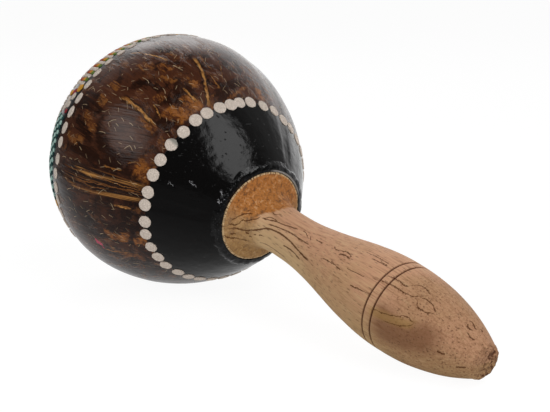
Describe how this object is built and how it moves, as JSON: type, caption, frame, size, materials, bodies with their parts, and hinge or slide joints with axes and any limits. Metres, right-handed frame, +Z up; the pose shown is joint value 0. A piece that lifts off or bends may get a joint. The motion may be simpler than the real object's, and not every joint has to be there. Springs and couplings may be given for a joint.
{
  "type": "coconut maraca",
  "caption": "Shaken rattle: a hollow coconut shell with loose seeds inside, plugged by a turned wooden handle with a flared collar and a swelling grip.",
  "frame": {"origin": "on the table, under the middle of the part as it lies on its coconut and its grip", "axes": "+Z up from the table, +X along the part towards the butt of the handle"},
  "size_m": [0.2404, 0.1108, 0.1102],
  "materials": {
    "coconut": "polished shell, black gloss lacquer at both ends, raised paint dots",
    "spalted_wood": "sanded and lightly waxed turned wood",
    "black_filler": "glossy black lacquer over filler",
    "seed": "smooth dry seed coat"
  },
  "bodies": {
    "maraca": {"coconut_shell": "coconut", "handle": "spalted_wood", "collar_bead": "black_filler"},
    "seed_01": {"seed_01": "seed"},
    "seed_02": {"seed_02": "seed"},
    "seed_03": {"seed_03": "seed"},
    "seed_04": {"seed_04": "seed"},
    "seed_05": {"seed_05": "seed"},
    "seed_06": {"seed_06": "seed"},
    "seed_07": {"seed_07": "seed"},
    "seed_08": {"seed_08": "seed"},
    "seed_09": {"seed_09": "seed"},
    "seed_10": {"seed_10": "seed"},
    "seed_11": {"seed_11": "seed"},
    "seed_12": {"seed_12": "seed"},
    "seed_13": {"seed_13": "seed"},
    "seed_14": {"seed_14": "seed"},
    "seed_15": {"seed_15": "seed"},
    "seed_16": {"seed_16": "seed"},
    "seed_17": {"seed_17": "seed"},
    "seed_18": {"seed_18": "seed"},
    "seed_19": {"seed_19": "seed"},
    "seed_20": {"seed_20": "seed"},
    "seed_21": {"seed_21": "seed"},
    "seed_22": {"seed_22": "seed"},
    "seed_23": {"seed_23": "seed"},
    "seed_24": {"seed_24": "seed"}
  },
  "joints": [
    {"name": "seed_01_flight", "type": "slide", "parent": "maraca", "child": "seed_01", "axis": [0, 0, 1], "range_m": [0, 0.0913]},
    {"name": "seed_02_flight", "type": "slide", "parent": "maraca", "child": "seed_02", "axis": [0, 0, 1], "range_m": [0, 0.09]},
    {"name": "seed_03_flight", "type": "slide", "parent": "maraca", "child": "seed_03", "axis": [0, 0, 1], "range_m": [0, 0.0898]},
    {"name": "seed_04_flight", "type": "slide", "parent": "maraca", "child": "seed_04", "axis": [0, 0, 1], "range_m": [0, 0.0894]},
    {"name": "seed_05_flight", "type": "slide", "parent": "maraca", "child": "seed_05", "axis": [0, 0, 1], "range_m": [0, 0.0873]},
    {"name": "seed_06_flight", "type": "slide", "parent": "maraca", "child": "seed_06", "axis": [0, 0, 1], "range_m": [0, 0.0883]},
    {"name": "seed_07_flight", "type": "slide", "parent": "maraca", "child": "seed_07", "axis": [0, 0, 1], "range_m": [0, 0.0867]},
    {"name": "seed_08_flight", "type": "slide", "parent": "maraca", "child": "seed_08", "axis": [0, 0, 1], "range_m": [0, 0.0858]},
    {"name": "seed_09_flight", "type": "slide", "parent": "maraca", "child": "seed_09", "axis": [0, 0, 1], "range_m": [0, 0.0865]},
    {"name": "seed_10_flight", "type": "slide", "parent": "maraca", "child": "seed_10", "axis": [0, 0, 1], "range_m": [0, 0.083]},
    {"name": "seed_11_flight", "type": "slide", "parent": "maraca", "child": "seed_11", "axis": [0, 0, 1], "range_m": [0, 0.0846]},
    {"name": "seed_12_flight", "type": "slide", "parent": "maraca", "child": "seed_12", "axis": [0, 0, 1], "range_m": [0, 0.0838]},
    {"name": "seed_13_flight", "type": "slide", "parent": "maraca", "child": "seed_13", "axis": [0, 0, 1], "range_m": [0, 0.0807]},
    {"name": "seed_14_flight", "type": "slide", "parent": "maraca", "child": "seed_14", "axis": [0, 0, 1], "range_m": [0, 0.0835]},
    {"name": "seed_15_flight", "type": "slide", "parent": "maraca", "child": "seed_15", "axis": [0, 0, 1], "range_m": [0, 0.0801]},
    {"name": "seed_16_flight", "type": "slide", "parent": "maraca", "child": "seed_16", "axis": [0, 0, 1], "range_m": [0, 0.0805]},
    {"name": "seed_17_flight", "type": "slide", "parent": "maraca", "child": "seed_17", "axis": [0, 0, 1], "range_m": [0, 0.0808]},
    {"name": "seed_18_flight", "type": "slide", "parent": "maraca", "child": "seed_18", "axis": [0, 0, 1], "range_m": [0, 0.0749]},
    {"name": "seed_19_flight", "type": "slide", "parent": "maraca", "child": "seed_19", "axis": [0, 0, 1], "range_m": [0, 0.0793]},
    {"name": "seed_20_flight", "type": "slide", "parent": "maraca", "child": "seed_20", "axis": [0, 0, 1], "range_m": [0, 0.0775]},
    {"name": "seed_21_flight", "type": "slide", "parent": "maraca", "child": "seed_21", "axis": [0, 0, 1], "range_m": [0, 0.0747]},
    {"name": "seed_22_flight", "type": "slide", "parent": "maraca", "child": "seed_22", "axis": [0, 0, 1], "range_m": [0, 0.0788]},
    {"name": "seed_23_flight", "type": "slide", "parent": "maraca", "child": "seed_23", "axis": [0, 0, 1], "range_m": [0, 0.0715]},
    {"name": "seed_24_flight", "type": "slide", "parent": "maraca", "child": "seed_24", "axis": [0, 0, 1], "range_m": [0, 0.0747]}
  ]
}
